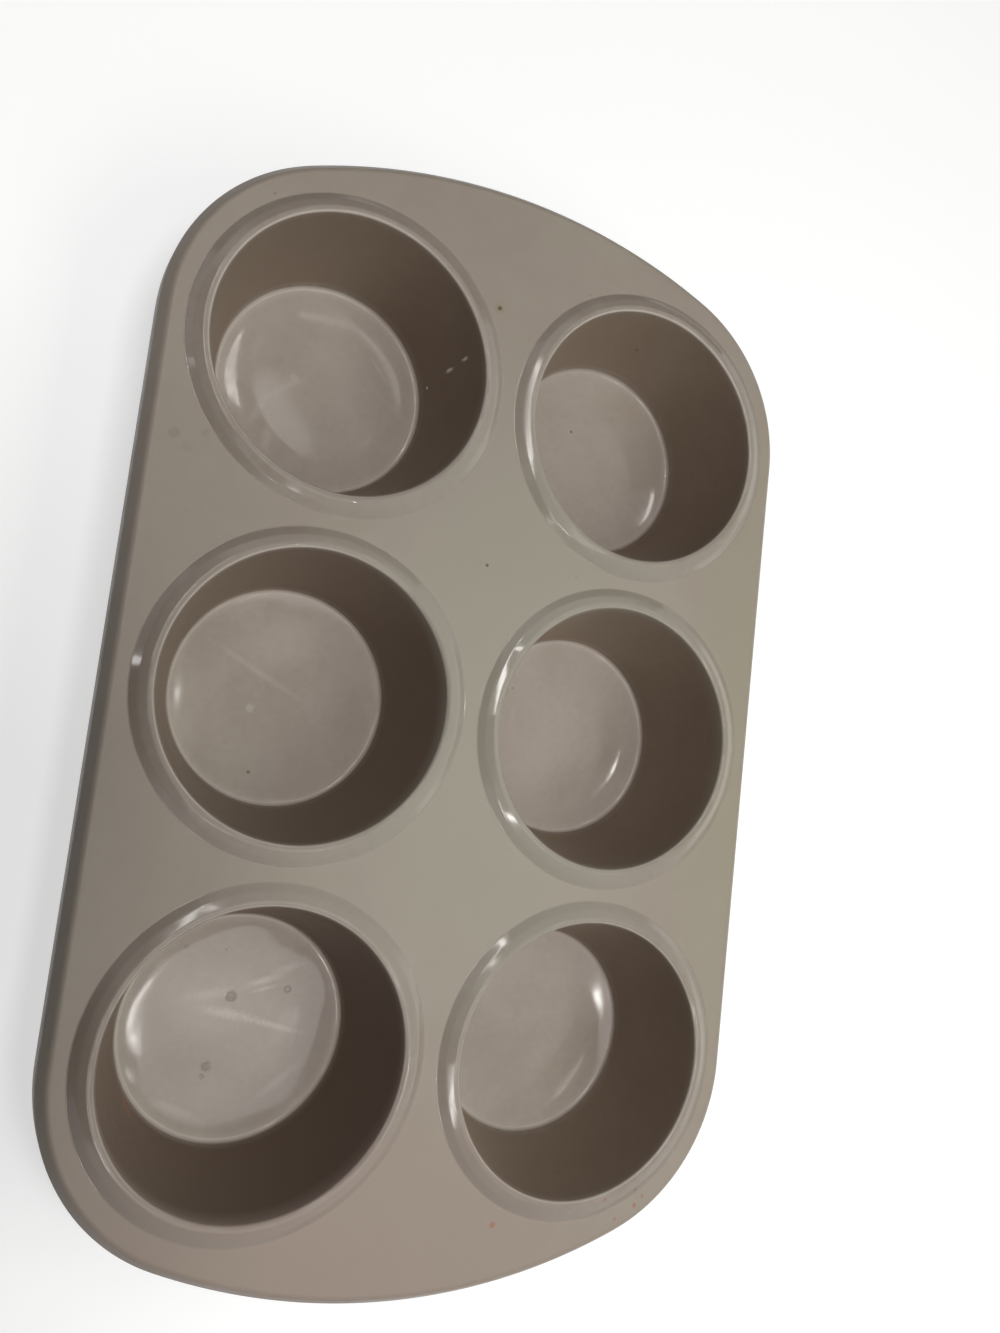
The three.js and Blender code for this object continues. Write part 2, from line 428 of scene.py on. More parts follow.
class Effects:
    """Node groups that more than one finish uses, each built once."""

    DRIFT_LAYERS = (Layer(14.0, 0.85, 2.0), Layer(160.0, 0.3, 3.0))
    DRIFT_SPAN = (0.38, 0.78)
    FILM_LAYERS = (Layer(38.0, 0.75, 4.0, 0.55), Layer(420.0, 0.35, 2.0, 0.6))
    FILM_SPAN = (0.4, 0.72)
    GRAIN_DETAIL = 3.0
    GRAIN_ROUGHNESS = 0.6
    SPECK_SPREAD = 0.1
    SPECK_LEAST = 0.05
    SPECK_EDGE = (0.6, 1.0)

    def __init__(self) -> None:
        """Builds the groups."""
        self.drift = self._drift()
        self.grain = self._grain()
        self.film = self._film()
        self.specks = self._specks()
        self.spot = self._spot()

    @staticmethod
    def _start(name: str, inputs: dict[str, Socket]) -> tuple[Graph, dict[str, NodeSocket]]:
        """An empty group with its inputs.

        Args:
            name: Name of the group.
            inputs: Input names to kinds of socket.

        Returns:
            The graph, and the sockets of its input node.
        """
        tree = bpy.data.node_groups.new(name, "ShaderNodeTree")
        for socket, kind in inputs.items():
            tree.interface.new_socket(socket, in_out="INPUT", socket_type=kind.value)
        graph = Graph(tree)
        return graph, graph.add("NodeGroupInput").outputs

    @staticmethod
    def _end(graph: Graph, result: NodeSocket, name: str, kind: Socket) -> NodeTree:
        """Gives a group its one output.

        Args:
            graph: The group's graph.
            result: What the output carries.
            name: Name of the output.
            kind: Kind of the output.

        Returns:
            The group.
        """
        graph.tree.interface.new_socket(name, in_out="OUTPUT", socket_type=kind.value)
        graph.add("NodeGroupOutput", {name: result})
        return graph.tree

    @staticmethod
    def _layers(graph: Graph, place: NodeSocket, layers: tuple[Layer, Layer]) -> NodeSocket:
        """Two layers of noise added up.

        Args:
            graph: Where to write the nodes.
            place: Socket with the place.
            layers: The broad layer and the fine one.

        Returns:
            The output socket.
        """
        broad, fine = (graph.noise(place, layer.scale, layer.detail, layer.roughness) for layer in layers)
        base = graph.math("MULTIPLY", broad, layers[0].share)
        return graph.math("MULTIPLY_ADD", fine, layers[1].share, base)

    def _drift(self) -> NodeTree:
        """Slow drift of the pigment between two shades.

        Returns:
            The group.
        """
        sockets = {"Place": Socket.VECTOR, "First": Socket.COLOUR, "Second": Socket.COLOUR}
        graph, given = self._start("Pigment drift", sockets)
        share = graph.range(self._layers(graph, given["Place"], self.DRIFT_LAYERS), *self.DRIFT_SPAN)
        return self._end(graph, graph.mix(share, given["First"], given["Second"]), "Colour", Socket.COLOUR)

    def _grain(self) -> NodeTree:
        """Fine skin that the mould leaves.

        Returns:
            The group.
        """
        graph, given = self._start("Mould grain", {"Place": Socket.VECTOR, "Scale": Socket.NUMBER})
        height = graph.noise(given["Place"], given["Scale"], self.GRAIN_DETAIL, self.GRAIN_ROUGHNESS)
        return self._end(graph, height, "Height", Socket.NUMBER)

    def _film(self) -> NodeTree:
        """Uneven film of handling and dust.

        Returns:
            The group.
        """
        graph, given = self._start("Handling film", {"Place": Socket.VECTOR})
        film = self._layers(graph, given["Place"], self.FILM_LAYERS)
        return self._end(graph, graph.range(film, *self.FILM_SPAN), "Film", Socket.NUMBER)

    def _specks(self) -> NodeTree:
        """Sparse specks of dust.

        Returns:
            The group.
        """
        sockets = {"Place": Socket.VECTOR, "Scale": Socket.NUMBER, "Share": Socket.NUMBER}
        graph, given = self._start("Dust specks", sockets)
        inputs = {"Vector": given["Place"], "Scale": given["Scale"], "Randomness": 1.0}
        cells = graph.add("ShaderNodeTexVoronoi", inputs, feature="F1")
        split = graph.add("ShaderNodeSeparateColor", {0: cells.outputs["Color"]})
        chosen = graph.math("LESS_THAN", split.outputs[0], given["Share"])
        reach = graph.math("MULTIPLY_ADD", split.outputs[1], self.SPECK_SPREAD, self.SPECK_LEAST)
        near = graph.math("DIVIDE", cells.outputs["Distance"], reach)
        dot = graph.range(near, *self.SPECK_EDGE, 1.0, 0.0)
        return self._end(graph, graph.math("MULTIPLY", dot, chosen), "Specks", Socket.NUMBER)

    def _spot(self) -> NodeTree:
        """One mark at a place, with a ragged edge.

        Returns:
            The group.
        """
        sockets = {name: Socket.VECTOR for name in ("Place", "Centre", "Reach")}
        sockets |= {name: Socket.NUMBER for name in ("Turn", "Ragged", "Inner", "Outer")}
        graph, given = self._start("Mark", sockets)
        links = {0: given["Place"], 1: given["Centre"]}
        away = graph.add("ShaderNodeVectorMath", links, operation="SUBTRACT").outputs[0]
        links = {"Vector": away, "Angle": given["Turn"]}
        turned = graph.add("ShaderNodeVectorRotate", links, rotation_type="Z_AXIS", invert=True).outputs[0]
        links = {0: turned, 1: given["Reach"]}
        scaled = graph.add("ShaderNodeVectorMath", links, operation="DIVIDE").outputs[0]
        distance = graph.add("ShaderNodeVectorMath", {0: scaled}, operation="LENGTH").outputs["Value"]
        edge = graph.math("ADD", distance, given["Ragged"])
        mark = graph.range(edge, given["Inner"], given["Outer"], 1.0, 0.0)
        return self._end(graph, mark, "Mark", Socket.NUMBER)


@dataclass(frozen=True)
class Mark:
    """A stain, a speck, or a patch of painted light or shade at one place.

    Attributes:
        centre: Where it is, in metres.
        reach: Half its size along each axis, in metres.
        colour: Its colour.
        strength: How much of the silicone it hides.
        pit: How deep it is sunk into the skin, in metres.
        turn: How far it is turned about the vertical.
        ragged: How ragged its edge is.
        edge: Where it starts to fade and where it ends, in reaches.
    """

    centre: Place
    reach: Place
    colour: Colour
    strength: float
    pit: float = 0.0
    turn: float = 0.0
    ragged: float = 0.9
    edge: Point = (0.45, 1.05)


def speck(place: Place, size: float, colour: Colour, strength: float, pit: float = 0.0) -> Mark:
    """A small round mark, its place, radius and pit in millimetres."""
    centre = tuple(value * MM for value in place)
    return Mark(centre, (size * MM,) * 3, colour, strength, pit * MM)


def scuff_and_reflection(start: Place, end: Place, width: float, colour: Colour, strength: float) -> Mark:
    """A soft line on the skin, used both for scuffs rubbed into it and for painted reflection streaks on the
    floors.

    Args:
        start: One end, in millimetres.
        end: Other end, in millimetres.
        width: Half its width in millimetres.
        colour: Its colour.
        strength: How much of the silicone it hides.

    Returns:
        The mark.
    """
    first, last = Vector(start) * MM, Vector(end) * MM
    along = last - first
    flat = along.to_2d().length
    reach = (max(flat / 2, width * MM), width * MM, max(abs(along.z) / 2, width * MM))
    turn = math.atan2(along.y, along.x)
    return Mark(((first + last) / 2).to_tuple(), reach, colour, strength, turn=turn, edge=(0.0, 1.2))


def painted_patch(place: Place, size: Place, colour: Colour, strength: float) -> Mark:
    """A broad soft patch of colour that paints light, shade and reflections onto the pan.

    Args:
        place: Its middle, in millimetres.
        size: Half its width, length and height in millimetres.
        colour: The colour painted in.
        strength: How much of it shows.

    Returns:
        The mark.
    """
    centre = tuple(value * MM for value in place)
    reach = tuple(value * MM for value in size)
    return Mark(centre, reach, colour, strength, ragged=0.0, edge=(0.3, 1.2))


def painted_light_patches(height: float, reach: float) -> tuple[Mark, ...]:
    """Broad patches of painted light that the deck and the beads share: a lighter greenish middle as painted
    sheen, and a yellower right side and a pinker near end for the colour of the light.

    Args:
        height: Height of their middle, in millimetres.
        reach: Half their height, in millimetres.

    Returns:
        The marks.
    """
    rows = (
        ((12.0, 5.0), (60.0, 105.0), GREENISH, 0.75),
        ((100.0, 0.0), (42.0, 130.0), YELLOWISH, 0.7),
        ((-35.0, -150.0), (100.0, 75.0), PINKISH, 0.8),
    )
    return tuple(painted_patch((*place, height), (*size, reach), *looks) for place, size, *looks in rows)


@dataclass(frozen=True)
class WallFinish:
    """How the cup walls differ from the rest of the glossy silicone, with shade painted on them.

    Attributes:
        rough: Roughness added there.
        shade_tint: What the colour is multiplied by there, a painted shade that darkens and browns the
            walls.
        painted_shade: Dark brown painted on the walls as shade, stronger in some cups.
    """

    rough: float = 0.4
    shade_tint: Colour = (0.85, 0.76, 0.675)
    painted_shade: Colour = (0.15, 0.105, 0.078)


@dataclass(frozen=True)
class SiliconeFinish:
    """Finish of moulded silicone.

    Attributes:
        slot: Material slot.
        first: One end of the pigment's drift.
        second: Other end of the drift.
        rough_clean: Roughness where the skin is clean.
        rough_film: Roughness under the film.
        grain_scale: Grain features per metre.
        grain_height: Depth of the grain in metres.
        speck_share: Share of cells with a speck.
        sheen: How strongly the skin mirrors, 0.5 being plain.
        veil: How much the handling film pales the colour, which on the glossy floors also paints in a cloudy
            reflection.
        wall: How the cup walls differ, where the finish has any.
        marks: Stains and specks at known places, and patches and streaks of painted light, shade and
            reflection.
        ior: How strongly the rubber bends light.
        speck_scale: Cells per metre that may hold a speck.
        speck_strength: How much of the silicone a speck hides.
        ragged_scale: Features per metre of the marks' ragged edges.
    """

    slot: Slot
    first: Colour
    second: Colour
    rough_clean: float
    rough_film: float
    grain_scale: float
    grain_height: float
    speck_share: float
    sheen: float
    veil: float
    wall: WallFinish | None = None
    marks: tuple[Mark, ...] = ()
    ior: float = 1.41
    speck_scale: float = 190.0
    speck_strength: float = 0.45
    ragged_scale: float = 1500.0

    def material(self, effects: Effects) -> Material:
        """Builds the material.

        Args:
            effects: The shared node groups.

        Returns:
            The material.
        """
        made, graph, shader = new_material(self.slot.value)
        shader.inputs["IOR"].default_value = self.ior
        shader.inputs["Specular IOR Level"].default_value = self.sheen
        place = graph.attribute(REST_PLACE)
        inputs = {"Place": place, "First": (*self.first, 1.0), "Second": (*self.second, 1.0)}
        shade = graph.group(effects.drift, inputs)
        inputs = {"Place": place, "Scale": self.speck_scale, "Share": self.speck_share}
        specks = graph.group(effects.specks, inputs)
        shade = graph.mix(graph.math("MULTIPLY", specks, self.speck_strength), shade, DUST)
        grain = graph.group(effects.grain, {"Place": place, "Scale": self.grain_scale})
        height = graph.math("MULTIPLY", grain, self.grain_height)
        film = graph.group(effects.film, {"Place": place})
        rough = graph.range(film, 0.0, 1.0, self.rough_clean, self.rough_film)
        # The handling film pales the colour; on the glossy floors this pale film also paints in a cloudy
        # reflection.
        shade = graph.mix(graph.math("MULTIPLY", film, self.veil), shade, PALE)
        if self.wall:
            zone = graph.attribute(CUP_ZONE)
            wall, highlight_share, painted_shade = graph.add("ShaderNodeSeparateXYZ", {0: zone}).outputs
            # Painted shade: the walls inside the cups are darkened and browned, more in some cups than in
            # others.
            shade = graph.mix(wall, shade, self.wall.shade_tint, "MULTIPLY")
            shade = graph.mix(painted_shade, shade, self.wall.painted_shade)
            rough = graph.math("MULTIPLY_ADD", graph.attribute(CUP_MATTE, "Fac"), self.wall.rough, rough)
            # Painted highlight: a pale thin ring on the lip and round the floor's edge.
            shade = graph.mix(highlight_share, shade, PALE)
        uneven = graph.math("SUBTRACT", graph.noise(place, self.ragged_scale), 0.5)
        for mark in self.marks:
            inputs = {"Place": place, "Centre": mark.centre, "Reach": mark.reach, "Turn": mark.turn}
            inputs |= {"Inner": mark.edge[0], "Outer": mark.edge[1]}
            if mark.ragged:
                inputs["Ragged"] = graph.math("MULTIPLY", uneven, mark.ragged)
            spot = graph.group(effects.spot, inputs)
            shade = graph.mix(graph.math("MULTIPLY", spot, mark.strength), shade, mark.colour)
            if mark.pit:
                height = graph.math("MULTIPLY_ADD", spot, -mark.pit, height)
        relief = graph.add("ShaderNodeBump", {"Height": height, "Distance": 1.0, "Strength": 1.0})
        links = {"Base Color": shade, "Roughness": rough, "Normal": relief.outputs["Normal"]}
        for name, socket in links.items():
            graph.tree.links.new(socket, shader.inputs[name])
        return made


@dataclass(frozen=True)
class SteelFinish:
    """Finish of drawn steel wire.

    Attributes:
        slot: Material slot.
        colour: Colour of the metal.
        rough_clean: Roughness of the bright metal.
        rough_film: Roughness under the film.
    """

    slot: Slot = Slot.STEEL
    colour: Colour = (0.52, 0.52, 0.5)
    rough_clean: float = 0.28
    rough_film: float = 0.42

    def material(self, effects: Effects) -> Material:
        """Builds the material.

        Args:
            effects: The shared node groups.

        Returns:
            The material.
        """
        made, graph, shader = new_material(self.slot.value)
        shader.inputs["Metallic"].default_value = 1.0
        shader.inputs["Base Color"].default_value = (*self.colour, 1.0)
        film = graph.group(effects.film, {"Place": graph.add("ShaderNodeTexCoord").outputs["Object"]})
        rough = graph.range(film, 0.0, 1.0, self.rough_clean, self.rough_film)
        graph.tree.links.new(rough, shader.inputs["Roughness"])
        return made


@dataclass(frozen=True)
class CupShape:
    """Sizes that all six cups share, in metres: the CAD model's, with softer rounds on the bead."""

    mouth_radius: float = 35.4 * MM
    floor_radius: float = 28.8 * MM
    wall: float = 1.8 * MM
    floor_fillet: float = 1.4 * MM
    heel_round: float = 3.5 * MM
    under_fillet: float = 2.0 * MM
    lip_round: float = 1.3 * MM
    shoulder_round: float = 1.4 * MM
    slope_width: float = 3.95 * MM
    slope_swell: float = 0.25 * MM
    swell_round: float = 5.0 * MM
    toe_fillet: float = 0.5 * MM
    toe_flange: float = 0.3 * MM
    toe_lift: float = 0.012 * MM
    floor_thickness: float = 1.8 * MM
    floor_flat: float = 17.0 * MM
    floor_dish: float = 1.15 * MM
    deck_thickness: float = 2.0 * MM
    recess_radius: float = 25.6 * MM
    recess_round: float = 0.3 * MM
    run_out: float = 0.05 * MM


@dataclass(frozen=True)
class ZoneBands:
    """Where the looks of a cup change, in metres.

    Attributes:
        under_drop: How far below the floor or the deck the outside starts.
        under_depth: How far behind the inner wall the outside starts.
        wall_start: Where the wall sets in, from the floor's edge up.
        wall_end: Where the wall fades out, from the top of the bead.
        lip_reach: How far out from the lip the wall still counts.
        lip_drop: How far below the top of the bead the painted highlight on the lip reaches.
        lip_rise: Where the lip's painted highlight sets in, from the lip outward.
        lip_fall: Where the lip's painted highlight fades out, from the lip outward.
        highlight_height: How far above its edge the floor's painted highlight reaches.
        highlight_rise: Where the floor's painted highlight sets in, from its edge outward.
        highlight_fall: Where the floor's painted highlight fades out, from its edge up.
    """

    under_drop: float = 0.5 * MM
    under_depth: float = 0.9 * MM
    wall_start: Point = (1.0 * MM, 3.0 * MM)
    wall_end: Point = (-1.6 * MM, -0.5 * MM)
    lip_reach: float = 0.3 * MM
    lip_drop: float = 0.8 * MM
    lip_rise: Point = (-0.1 * MM, 0.15 * MM)
    lip_fall: Point = (0.25 * MM, 0.55 * MM)
    highlight_height: float = 1.2 * MM
    highlight_rise: Point = (-1.1 * MM, -0.6 * MM)
    highlight_fall: Point = (0.5 * MM, 1.0 * MM)


@dataclass
class CupSkin:
    """The unbroken silicone of one cup: bead, wall, heel and floor.

    Attributes:
        number: Which cup, counted from the far left.
        deck_top: Height of the deck.
        shape: Sizes of the cup.
        bands: Where its looks change.
        segments: Facets round the cup.
        dish_rings: Rings between the floor's edge and its flat middle.
        fillet_rings: How many of them the fillet takes up.
        wave_height: Unevenness of the floor, in metres.
        wave_count: Waves that add up to it.
        wave_length: Shortest and longest wave, in millimetres.
        wave_share: Lowest and highest wave, in wave heights.
        wave_fade: How far from the floor's edge the waves die out.
        bead_wander: Unevenness of the bead, in metres.
        wander_turns: Waves round the bead that add up to it.
        wander_share: Lowest and highest of those waves.
        bead_span: Where that sets in above the deck, and is full below the bead's top.
        lip_highlight: How strong the pale highlight painted on the lip is.
        blend_span: How far below the deck the push's stretch starts, and above the floor's edge ends.
        piece: The finished object.
    """

    number: int
    deck_top: float
    shape: CupShape = field(default_factory=CupShape)
    bands: ZoneBands = field(default_factory=ZoneBands)
    segments: int = 128
    dish_rings: int = 14
    fillet_rings: int = 2
    wave_height: float = 0.045 * MM
    wave_count: int = 5
    wave_length: Point = (16, 38)
    wave_share: Point = (0.4, 1.0)
    wave_fade: float = 5.0 * MM
    bead_wander: float = 0.05 * MM
    wander_turns: tuple[int, ...] = (2, 3, 5, 7, 11)
    wander_share: Point = (0.3, 1.0)
    bead_span: Point = (0.2 * MM, 0.4 * MM)
    lip_highlight: float = 0.62
    blend_span: Point = (2.0 * MM, 1.6 * MM)
    piece: Object | None = None

    def __post_init__(self) -> None:
        """Takes the cup's place and heights from the CAD nodes."""
        low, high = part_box(f"cup_{self.number}")
        floor_low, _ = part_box(f"cup_floor_{self.number}")
        self.centre = (low + high) / 2
        self.toe = (high.x - low.x) / 2
        self.bead_top = high.z
        self.floor_low = floor_low.z
        self.floor_top = floor_low.z + self.shape.floor_thickness
        self.floor_edge = self.floor_top + self.shape.floor_dish
        self.dice = random.Random(SEED_BASE + self.number)

    def inside_at(self, height: float) -> float:
        """Inner radius of the wall.

        Args:
            height: Height above the table.

        Returns:
            The radius there.
        """
        shape = self.shape
        slope = (shape.mouth_radius - shape.floor_radius) / (self.deck_top - self.floor_edge)
        return shape.floor_radius + (height - self.floor_edge) * slope

    def outside_at(self, height: float) -> float:
        """Outer radius of the wall.

        Args:
            height: Height above the table.

        Returns:
            The radius there.
        """
        shape = self.shape
        draft = math.atan2(shape.mouth_radius - shape.floor_radius, self.deck_top - self.floor_edge)
        return self.inside_at(height) + shape.wall / math.cos(draft)

    def floor_at(self, radius: float) -> float:
        """Height of the floor, which is flat in the middle and dished up to the wall in an arc.

        Args:
            radius: Distance from the axis.

        Returns:
            The height there.
        """
        shape = self.shape
        width = shape.floor_radius - shape.floor_flat
        dish_radius = (width**2 + shape.floor_dish**2) / (2 * shape.floor_dish)
        out = max(radius - shape.floor_flat, 0.0)
        return self.floor_top + dish_radius - math.sqrt(dish_radius**2 - out**2)

    def profile(self) -> list[Point]:
        """Section from the middle of the underside, over the bead, to the middle of the floor.

        Returns:
            Points as (radius, height).
        """
        shape = self.shape
        under = self.deck_top - shape.deck_thickness - shape.run_out
        half_up = (self.deck_top + self.bead_top) / 2 + shape.slope_swell
        dish = spread((shape.floor_radius, 0.0), (shape.floor_flat, 0.0), self.dish_rings)
        *dish_radii, last_radius = [radius for radius, _ in dish[self.fillet_rings :]]
        corners = [
            Corner(0.0, self.floor_low, then=8),
            Corner(shape.recess_radius, self.floor_low, shape.recess_round, 3),
            Corner(shape.recess_radius, 0.0, shape.recess_round, 3),
            Corner(self.outside_at(0.0), 0.0, shape.heel_round, 8, then=16),
            Corner(self.outside_at(under), under, shape.under_fillet, 6),
            Corner(self.toe + shape.toe_flange, under),
            Corner(self.toe + shape.toe_flange, self.deck_top + shape.toe_lift),
            Corner(self.toe, self.deck_top + shape.toe_lift, shape.toe_fillet, 6),
            Corner(self.toe - shape.slope_width / 2, half_up, shape.swell_round, 6),
            Corner(self.toe - shape.slope_width, self.bead_top, shape.shoulder_round, 8),
            Corner(self.inside_at(self.bead_top), self.bead_top, shape.lip_round, 10, then=22),
            Corner(shape.floor_radius, self.floor_edge, shape.floor_fillet, 10),
            *[Corner(radius, self.floor_at(radius)) for radius in dish_radii],
            Corner(last_radius, self.floor_at(last_radius), then=26),
            Corner(0.0, self.floor_top),
        ]
        points = []
        for index, corner in enumerate(corners):
            before = corners[max(index - 1, 0)]
            after = corners[min(index + 1, len(corners) - 1)]
            arc = rounded(before, corner, after)
            if points and before.then:
                points += spread(points[-1], arc[0], before.then)
            points += arc
        return points

    def waves(self) -> list[Wave]:
        """Waves of the floor, drawn from the cup's own seed.

        Returns:
            For each wave its reach along X and Y in radians per metre, its phase and its height.
        """
        made = []
        for _ in range(self.wave_count):
            heading = self.dice.uniform(0, FULL_TURN)
            length = self.dice.uniform(*self.wave_length) * MM
            height = self.wave_height * self.dice.uniform(*self.wave_share)
            turn = FULL_TURN / length
            phase = self.dice.uniform(0, FULL_TURN)
            made.append((turn * math.cos(heading), turn * math.sin(heading), phase, height))
        return made

    def build(self) -> None:
        """Turns the profile round the cup's axis and gives floor and bead their unevenness."""
        profile = self.profile()
        waves = self.waves()
        wander = []
        for turns in self.wander_turns:
            phase = self.dice.uniform(0, FULL_TURN)
            wander.append((turns, phase, self.dice.uniform(*self.wander_share)))
        draft = Draft()
        tip = draft.ring([(self.centre.x, self.centre.y, profile[0][1])])[0]
        angles = [FULL_TURN * step / self.segments for step in range(self.segments)]
        rings = []
        for radius, height in profile[1:-1]:
            rings.append(draft.ring([self.point(radius, height, angle, waves, wander) for angle in angles]))
        middle = draft.ring([self.point(0.0, profile[-1][1], 0.0, waves, wander)])[0]
        for step in range(self.segments):
            beside = (step + 1) % self.segments
            draft.faces.append((tip, rings[0][beside], rings[0][step]))
            draft.faces.append((middle, rings[-1][step], rings[-1][beside]))
        for ring, above in zip(rings, rings[1:]):
            draft.band(ring, above)
        self.piece = draft.finish(f"cup_skin_{self.number}")
        layers = self.piece.data.attributes
        layers.new(CUP_ZONE, "FLOAT_VECTOR", "POINT")
        layers.new(CUP_MATTE, "FLOAT", "POINT")
        rows = zip(self.piece.data.vertices, layers[CUP_ZONE].data, layers[CUP_MATTE].data)
        for vertex, zone, matte in rows:
            zone.vector = self.zone(vertex.co)
            matte.value = 1.0 if self.is_under(vertex.co) else zone.vector[0]

    def is_under(self, place: Vector) -> bool:
        """Whether a point is on the outside, which shows from below.

        Args:
            place: Where it lies.

        Returns:
            True on the outside.
        """
        bands = self.bands
        if place.z < self.floor_top - bands.under_drop:
            return True
        radius = (place - self.centre).to_2d().length
        below_deck = place.z < self.deck_top - bands.under_drop
        return below_deck and radius > self.inside_at(place.z) + bands.under_depth

    def zone(self, place: Vector) -> Place:
        """How far a point belongs to the wall, and how strongly light and shade are painted on it.

        Args:
            place: Where it lies.

        Returns:
            The share of the wall, the strength of the painted highlight on the lip and the floor's edge, and
            the strength of the painted shade on the wall.
        """
        if self.is_under(place):
            return (0.0, 0.0, 0.0)
        bands = self.bands
        radius = (place - self.centre).to_2d().length
        lip = self.inside_at(self.bead_top)
        wall = fade_from(place.z, self.floor_edge, bands.wall_start)
        if radius < lip + bands.lip_reach:
            wall *= 1.0 - fade_from(place.z, self.bead_top, bands.wall_end)
        elif place.z > self.deck_top - bands.under_drop:
            wall = 0.0
        # Painted highlight: a pale thin ring on the lip and round the floor's edge.
        painted_highlight = 0.0
        if place.z > self.bead_top - bands.lip_drop:
            painted_highlight = self.lip_highlight * fade_from(radius, lip, bands.lip_rise)
            painted_highlight *= 1.0 - fade_from(radius, lip, bands.lip_fall)
        elif self.floor_top < place.z < self.floor_edge + bands.highlight_height:
            painted_highlight = FLOOR_EDGE_HIGHLIGHT[self.number] * fade_from(radius, self.shape.floor_radius, bands.highlight_rise)
            painted_highlight *= 1.0 - fade_from(place.z, self.floor_edge, bands.highlight_fall)
        # The last value is the painted shade on the wall, stronger in some cups than in others.
        return (wall, painted_highlight, wall * WALL_SHADE[self.number])

    def point(
        self, radius: float, height: float, angle: float, waves: list[Wave], wander: list[Place]
    ) -> Place:
        """One point of the skin.

        Args:
            radius: Distance from the axis.
            height: Height above the table.
            angle: Angle round the axis.
            waves: The floor's waves.
            wander: The bead's unevenness.

        Returns:
            Its place in metres.
        """
        x = radius * math.cos(angle)
        y = radius * math.sin(angle)
        floor_edge = self.shape.floor_radius - self.shape.floor_fillet
        share = 1.0 - fade(radius, floor_edge - self.wave_fade, floor_edge)
        if height >= self.floor_top - SAME_HEIGHT and share > 0:
            height += share * sum(h * math.sin(a * x + b * y + c) for a, b, c, h in waves)
        bead = fade(height, self.deck_top + self.bead_span[0], self.bead_top - self.bead_span[1])
        if bead > 0:
            uneven = sum(s * math.sin(n * angle + p) for n, p, s in wander) / len(wander)
            height -= bead * self.bead_wander * (1 + uneven)
        return (self.centre.x + x, self.centre.y + y, height)

    def dress(self, material: Material) -> None:
        """Gives the skin its finish and lets its floor follow the push.

        Args:
            material: Finish of the skin.
        """
        self.piece.data.materials.append(material)
        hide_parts(f"cup_{self.number}", f"cup_floor_{self.number}")
        start = (self.centre.x, self.centre.y, self.deck_top - self.blend_span[0])
        end = (self.centre.x, self.centre.y, self.floor_edge + self.blend_span[1])
        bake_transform(self.piece, Body.PAN.value, f"{Body.FLOOR.value}{self.number}", start=start, end=end)


